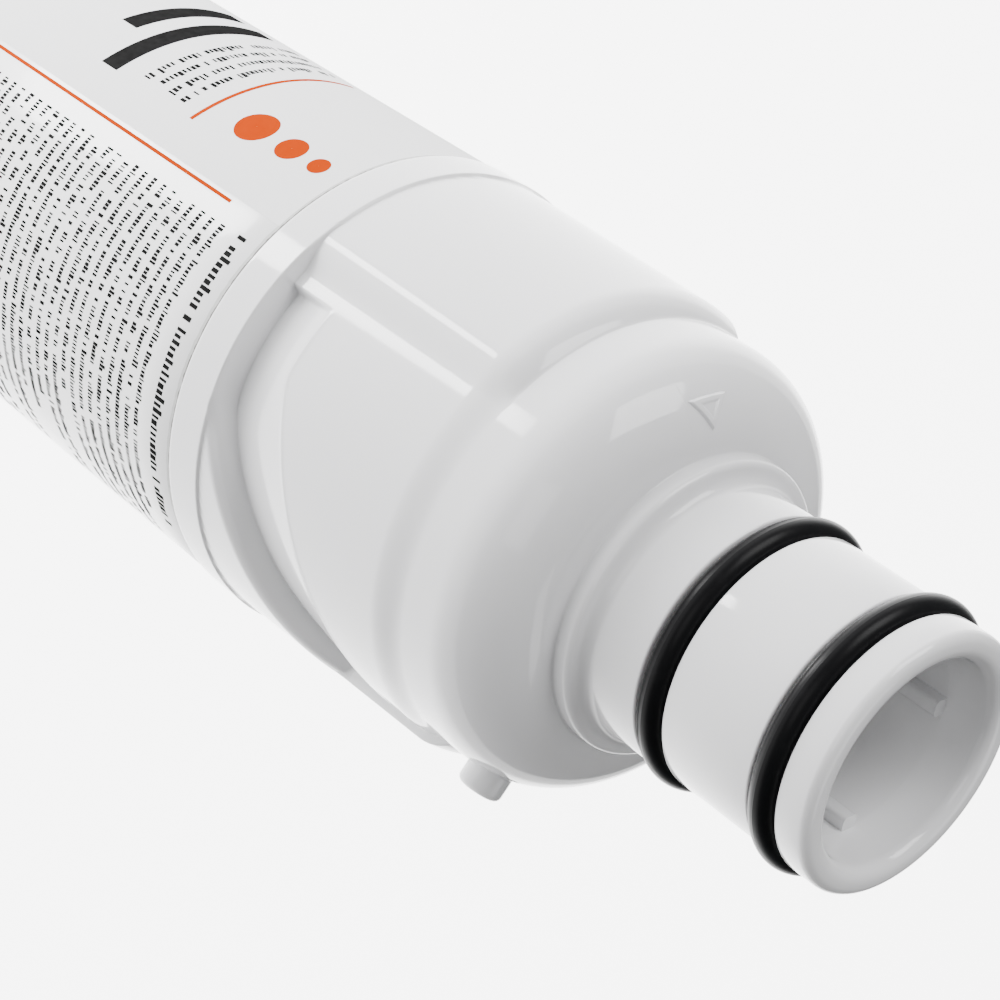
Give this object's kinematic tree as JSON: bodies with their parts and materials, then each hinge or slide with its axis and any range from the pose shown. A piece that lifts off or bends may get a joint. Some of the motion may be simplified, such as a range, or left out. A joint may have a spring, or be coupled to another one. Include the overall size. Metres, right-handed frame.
{
  "type": "refrigerator water filter cartridge",
  "caption": "Round twist-in water filter cartridge with a cylindrical canister, bayonet cam recesses in its domed head and a spigot sealed by O-rings.",
  "frame": {"origin": "centre of the flat base, where the cartridge stands", "axes": "+Z along the cartridge axis towards the spigot, +X through the key peg, -Y the side seen in the picture"},
  "size_m": [0.0666, 0.0666, 0.244],
  "materials": {
    "housing_plastic": "glossy white moulded plastic",
    "cap_plastic": "glossy white moulded plastic",
    "label_film": "glossy printed film",
    "seal_rubber": "smooth black rubber with a light grease sheen",
    "carbon": "pressed carbon granules",
    "fleece": "white non-woven fleece",
    "netting": "extruded netting",
    "element_plastic": "plain moulded plastic"
  },
  "bodies": {
    "root": {"housing": "housing_plastic", "end_cap": "cap_plastic", "label_sleeve": "label_film", "spigot_o_ring_front": "seal_rubber", "spigot_o_ring_rear": "seal_rubber", "carbon_block": "carbon", "prefilter_wrap": "fleece", "netting_sleeve": "netting", "element_top_cap": "element_plastic", "element_bottom_cap": "element_plastic"}
  },
  "joints": []
}
